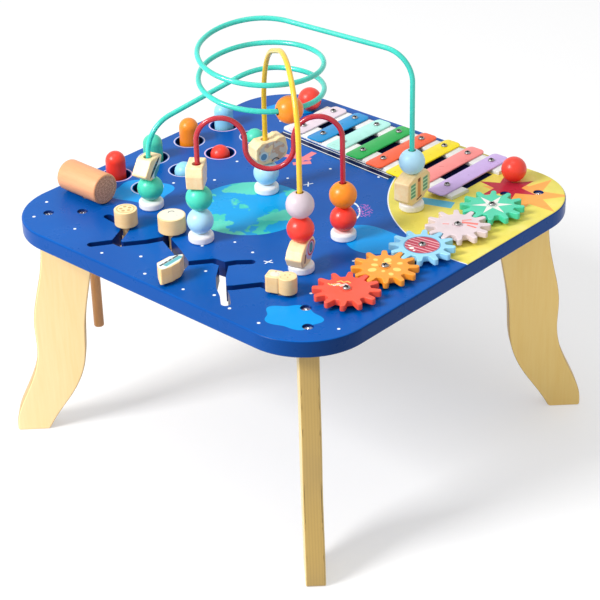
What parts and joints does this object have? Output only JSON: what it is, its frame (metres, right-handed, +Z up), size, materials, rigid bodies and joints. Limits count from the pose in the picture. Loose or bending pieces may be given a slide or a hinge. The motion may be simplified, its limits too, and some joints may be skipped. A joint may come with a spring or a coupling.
{
  "type": "activity table",
  "caption": "Low square play table with a bead maze on bent wires, slider maze, meshed gears, hammer bench with paired pegs, small xylophone and two beaters.",
  "frame": {"origin": "on the floor under the middle of the table top", "axes": "+Z up; +X towards the side with the gears; +Y towards the side with the xylophone"},
  "size_m": [0.4102, 0.4102, 0.4159],
  "materials": {
    "board_blue": "printed and satin lacquered",
    "leg_lacquer": "clear satin lacquer over light plywood",
    "steel": "zinc plated",
    "wire_teal": "gloss enamel",
    "wire_yellow": "gloss enamel",
    "wire_red": "gloss enamel",
    "collar_white": "gloss",
    "bead_green": "gloss paint",
    "bead_blue": "gloss paint",
    "bead_red": "gloss paint",
    "bead_orange": "gloss paint",
    "bead_white": "gloss paint",
    "block_wood": "clear satin lacquer",
    "hammer_wood": "clear satin lacquer",
    "handle_wood": "clear satin lacquer",
    "box_board": "raw plywood",
    "gear_coral": "satin paint",
    "gear_orange": "satin paint",
    "gear_blue": "satin paint",
    "gear_pink": "satin paint",
    "gear_mint": "satin paint",
    "bush_plastic": "smooth",
    "felt_white": "pressed felt",
    "bar_metal": "satin enamel"
  },
  "bodies": {
    "table": {"table_top": "board_blue", "front_leg": "leg_lacquer", "right_leg": "leg_lacquer", "rear_leg": "leg_lacquer", "left_leg": "leg_lacquer", "leg_bolts": "steel", "leg_inserts": "steel", "teal_wire": "wire_teal", "teal_wire_posts": "wire_teal", "yellow_wire": "wire_yellow", "red_wire": "wire_red", "wire_collars": "collar_white", "wire_push_nuts": "steel", "peg_guide_board": "box_board", "peg_box_frame": "box_board", "rocker_axle": "steel", "gear_bushes": "bush_plastic", "wood_screws": "steel", "xylophone_felts": "felt_white", "xylophone_bars": "bar_metal"},
    "teal_post_green_ball": {"teal_post_green_ball": "bead_green"},
    "teal_post_leaf_block": {"teal_post_leaf_block": "block_wood"},
    "teal_post_cabin_block": {"teal_post_cabin_block": "block_wood"},
    "teal_post_blue_ball": {"teal_post_blue_ball": "bead_blue"},
    "yellow_post_blue_ball": {"yellow_post_blue_ball": "bead_blue"},
    "yellow_post_pebble_block": {"yellow_post_pebble_block": "block_wood"},
    "yellow_post_figure_block": {"yellow_post_figure_block": "block_wood"},
    "yellow_post_red_ball": {"yellow_post_red_ball": "bead_red"},
    "yellow_post_white_ball": {"yellow_post_white_ball": "bead_white"},
    "red_post_blue_ball": {"red_post_blue_ball": "bead_blue"},
    "red_post_green_ball": {"red_post_green_ball": "bead_green"},
    "red_post_brick_block": {"red_post_brick_block": "block_wood"},
    "red_post_red_ball": {"red_post_red_ball": "bead_red"},
    "red_post_orange_ball": {"red_post_orange_ball": "bead_orange"},
    "coil_orange_ball": {"coil_orange_ball": "bead_orange"},
    "hammer": {"hammer_head": "hammer_wood", "hammer_handle": "handle_wood"},
    "left_beater": {"left_beater": "bead_red"},
    "right_beater": {"right_beater": "bead_red"},
    "back_peg_1": {"back_peg_1": "bead_red"},
    "front_peg_1": {"front_peg_1": "bead_orange"},
    "rocker_1": {"rocker_1": "box_board"},
    "back_peg_2": {"back_peg_2": "bead_green"},
    "front_peg_2": {"front_peg_2": "bead_blue"},
    "rocker_2": {"rocker_2": "box_board"},
    "back_peg_3": {"back_peg_3": "bead_orange"},
    "front_peg_3": {"front_peg_3": "bead_red"},
    "rocker_3": {"rocker_3": "box_board"},
    "back_peg_4": {"back_peg_4": "bead_blue"},
    "front_peg_4": {"front_peg_4": "bead_green"},
    "rocker_4": {"rocker_4": "box_board"},
    "gear_1": {"gear_1": "gear_coral"},
    "gear_2": {"gear_2": "gear_orange"},
    "gear_3": {"gear_3": "gear_blue"},
    "gear_4": {"gear_4": "gear_pink"},
    "gear_5": {"gear_5": "gear_mint"},
    "drum_slider": {"drum_slider": "block_wood"},
    "disc_slider": {"disc_slider": "block_wood"},
    "rocket_slider": {"rocket_slider": "block_wood"},
    "cloud_slider": {"cloud_slider": "block_wood"}
  },
  "joints": [
    {"name": "teal_post_green_ball_lift", "type": "slide", "parent": "table", "child": "teal_post_green_ball", "axis": [0, 0, 1], "range_m": [0, 0.0035]},
    {"name": "teal_post_leaf_block_lift", "type": "slide", "parent": "teal_post_green_ball", "child": "teal_post_leaf_block", "axis": [0, 0, 1], "range_m": [0, 0.0035]},
    {"name": "teal_post_cabin_block_lift", "type": "slide", "parent": "table", "child": "teal_post_cabin_block", "axis": [0, 0, 1], "range_m": [0, 0.03]},
    {"name": "teal_post_blue_ball_lift", "type": "slide", "parent": "teal_post_cabin_block", "child": "teal_post_blue_ball", "axis": [0, 0, 1], "range_m": [0, 0.035]},
    {"name": "yellow_post_blue_ball_lift", "type": "slide", "parent": "table", "child": "yellow_post_blue_ball", "axis": [0, 0, 1], "range_m": [0, 0.015]},
    {"name": "yellow_post_pebble_block_lift", "type": "slide", "parent": "yellow_post_blue_ball", "child": "yellow_post_pebble_block", "axis": [0, 0, 1], "range_m": [0, 0.018]},
    {"name": "yellow_post_figure_block_lift", "type": "slide", "parent": "table", "child": "yellow_post_figure_block", "axis": [0, 0, 1], "range_m": [0, 0.012]},
    {"name": "yellow_post_red_ball_lift", "type": "slide", "parent": "yellow_post_figure_block", "child": "yellow_post_red_ball", "axis": [0, 0, 1], "range_m": [0, 0.012]},
    {"name": "yellow_post_white_ball_lift", "type": "slide", "parent": "yellow_post_red_ball", "child": "yellow_post_white_ball", "axis": [0, 0, 1], "range_m": [0, 0.014]},
    {"name": "red_post_blue_ball_lift", "type": "slide", "parent": "table", "child": "red_post_blue_ball", "axis": [0, 0, 1], "range_m": [0, 0.006]},
    {"name": "red_post_green_ball_lift", "type": "slide", "parent": "red_post_blue_ball", "child": "red_post_green_ball", "axis": [0, 0, 1], "range_m": [0, 0.006]},
    {"name": "red_post_brick_block_lift", "type": "slide", "parent": "red_post_green_ball", "child": "red_post_brick_block", "axis": [0, 0, 1], "range_m": [0, 0.006]},
    {"name": "red_post_red_ball_lift", "type": "slide", "parent": "table", "child": "red_post_red_ball", "axis": [0, 0, 1], "range_m": [0, 0.021]},
    {"name": "red_post_orange_ball_lift", "type": "slide", "parent": "red_post_red_ball", "child": "red_post_orange_ball", "axis": [0, 0, 1], "range_m": [0, 0.021]},
    {"name": "coil_orange_ball_travel", "type": "hinge", "parent": "table", "child": "coil_orange_ball", "pos_m": [-0.00992, -0.02854, 0.36303], "axis": [-0.0819, -0.0214, -0.9964], "range_deg": [-3, 28]},
    {"name": "hammer_lift", "type": "slide", "parent": "table", "child": "hammer", "axis": [0, 0, 1], "range_m": [0, 0.16]},
    {"name": "left_beater_lift", "type": "slide", "parent": "table", "child": "left_beater", "axis": [0, 0, 1], "range_m": [0, 0.125]},
    {"name": "right_beater_lift", "type": "slide", "parent": "table", "child": "right_beater", "axis": [0, 0, 1], "range_m": [0, 0.125]},
    {"name": "back_peg_1_press", "type": "slide", "parent": "table", "child": "back_peg_1", "axis": [0, 0, -1], "range_m": [0, 0.017]},
    {"name": "front_peg_1_rise", "type": "slide", "parent": "table", "child": "front_peg_1", "axis": [0, 0, 1], "range_m": [0, 0.017]},
    {"name": "rocker_1_turn", "type": "hinge", "parent": "table", "child": "rocker_1", "pos_m": [-0.15235, -0.067, 0.18748], "axis": [0, -1, 0], "range_deg": [0, 44.24]},
    {"name": "back_peg_2_press", "type": "slide", "parent": "table", "child": "back_peg_2", "axis": [0, 0, -1], "range_m": [0, 0.017]},
    {"name": "front_peg_2_rise", "type": "slide", "parent": "table", "child": "front_peg_2", "axis": [0, 0, 1], "range_m": [0, 0.017]},
    {"name": "rocker_2_turn", "type": "hinge", "parent": "table", "child": "rocker_2", "pos_m": [-0.15235, -0.0167, 0.18748], "axis": [0, -1, 0], "range_deg": [0, 44.24]},
    {"name": "back_peg_3_press", "type": "slide", "parent": "table", "child": "back_peg_3", "axis": [0, 0, -1], "range_m": [0, 0.017]},
    {"name": "front_peg_3_rise", "type": "slide", "parent": "table", "child": "front_peg_3", "axis": [0, 0, 1], "range_m": [0, 0.017]},
    {"name": "rocker_3_turn", "type": "hinge", "parent": "table", "child": "rocker_3", "pos_m": [-0.15235, 0.0336, 0.18748], "axis": [0, -1, 0], "range_deg": [0, 44.24]},
    {"name": "back_peg_4_press", "type": "slide", "parent": "table", "child": "back_peg_4", "axis": [0, 0, -1], "range_m": [0, 0.017]},
    {"name": "front_peg_4_rise", "type": "slide", "parent": "table", "child": "front_peg_4", "axis": [0, 0, 1], "range_m": [0, 0.017]},
    {"name": "rocker_4_turn", "type": "hinge", "parent": "table", "child": "rocker_4", "pos_m": [-0.15235, 0.0839, 0.18748], "axis": [0, -1, 0], "range_deg": [0, 44.24]},
    {"name": "gear_1_spin", "type": "hinge", "parent": "table", "child": "gear_1", "pos_m": [0.1563, -0.1057, 0.242], "axis": [0, 0, 1], "continuous": true},
    {"name": "gear_2_spin", "type": "hinge", "parent": "table", "child": "gear_2", "pos_m": [0.1563, -0.0542, 0.242], "axis": [0, 0, 1], "continuous": true},
    {"name": "gear_3_spin", "type": "hinge", "parent": "table", "child": "gear_3", "pos_m": [0.1563, -0.0027, 0.242], "axis": [0, 0, 1], "continuous": true},
    {"name": "gear_4_spin", "type": "hinge", "parent": "table", "child": "gear_4", "pos_m": [0.1563, 0.0488, 0.242], "axis": [0, 0, 1], "continuous": true},
    {"name": "gear_5_spin", "type": "hinge", "parent": "table", "child": "gear_5", "pos_m": [0.1563, 0.1003, 0.242], "axis": [0, 0, 1], "continuous": true},
    {"name": "drum_slider_push", "type": "slide", "parent": "table", "child": "drum_slider", "axis": [-0.9962, 0.0866, 0], "range_m": [0, 0.026]},
    {"name": "disc_slider_push", "type": "slide", "parent": "table", "child": "disc_slider", "axis": [0.2859, -0.9583, 0], "range_m": [0, 0.012]},
    {"name": "rocket_slider_push", "type": "slide", "parent": "table", "child": "rocket_slider", "axis": [-0.3657, 0.9308, 0], "range_m": [0, 0.028]},
    {"name": "cloud_slider_push", "type": "slide", "parent": "table", "child": "cloud_slider", "axis": [-1, 0, 0], "range_m": [0, 0.023]}
  ],
  "couplings": [
    {"joint": "front_peg_1_rise", "follows": "back_peg_1_press", "ratio": 1},
    {"joint": "rocker_1_turn", "follows": "back_peg_1_press", "rad_per_m": 45.364},
    {"joint": "front_peg_2_rise", "follows": "back_peg_2_press", "ratio": 1},
    {"joint": "rocker_2_turn", "follows": "back_peg_2_press", "rad_per_m": 45.364},
    {"joint": "front_peg_3_rise", "follows": "back_peg_3_press", "ratio": 1},
    {"joint": "rocker_3_turn", "follows": "back_peg_3_press", "rad_per_m": 45.364},
    {"joint": "front_peg_4_rise", "follows": "back_peg_4_press", "ratio": 1},
    {"joint": "rocker_4_turn", "follows": "back_peg_4_press", "rad_per_m": 45.364},
    {"joint": "gear_2_spin", "follows": "gear_1_spin", "ratio": -1},
    {"joint": "gear_3_spin", "follows": "gear_1_spin", "ratio": 1},
    {"joint": "gear_4_spin", "follows": "gear_1_spin", "ratio": -1},
    {"joint": "gear_5_spin", "follows": "gear_1_spin", "ratio": 1}
  ]
}
